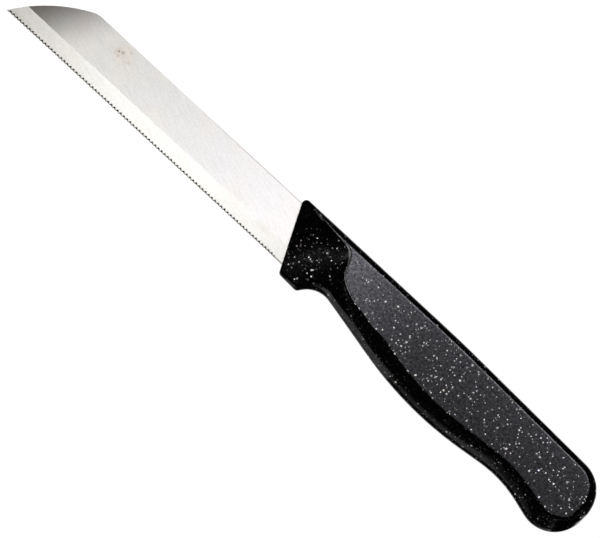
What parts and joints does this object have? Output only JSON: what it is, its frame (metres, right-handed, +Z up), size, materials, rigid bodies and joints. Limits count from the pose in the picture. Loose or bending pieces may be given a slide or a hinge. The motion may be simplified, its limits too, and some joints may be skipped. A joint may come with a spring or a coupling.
{
  "type": "fruit knife",
  "caption": "Small fruit knife with a straight, finely toothed steel blade and a curved moulded plastic handle, lying on its side.",
  "frame": {"origin": "middle of the flat on the lower side of the handle, on which the knife lies", "axes": "+X along the knife from the tip to the butt, +Y from the cutting edge towards the spine, +Z up, out of the upper side of the handle"},
  "size_m": [0.19, 0.0213, 0.0106],
  "materials": {
    "blade_steel": "satin, finely brushed",
    "handle_plastic": "polished black with silver glitter"
  },
  "bodies": {
    "root": {"blade": "blade_steel", "handle": "handle_plastic"}
  },
  "joints": []
}
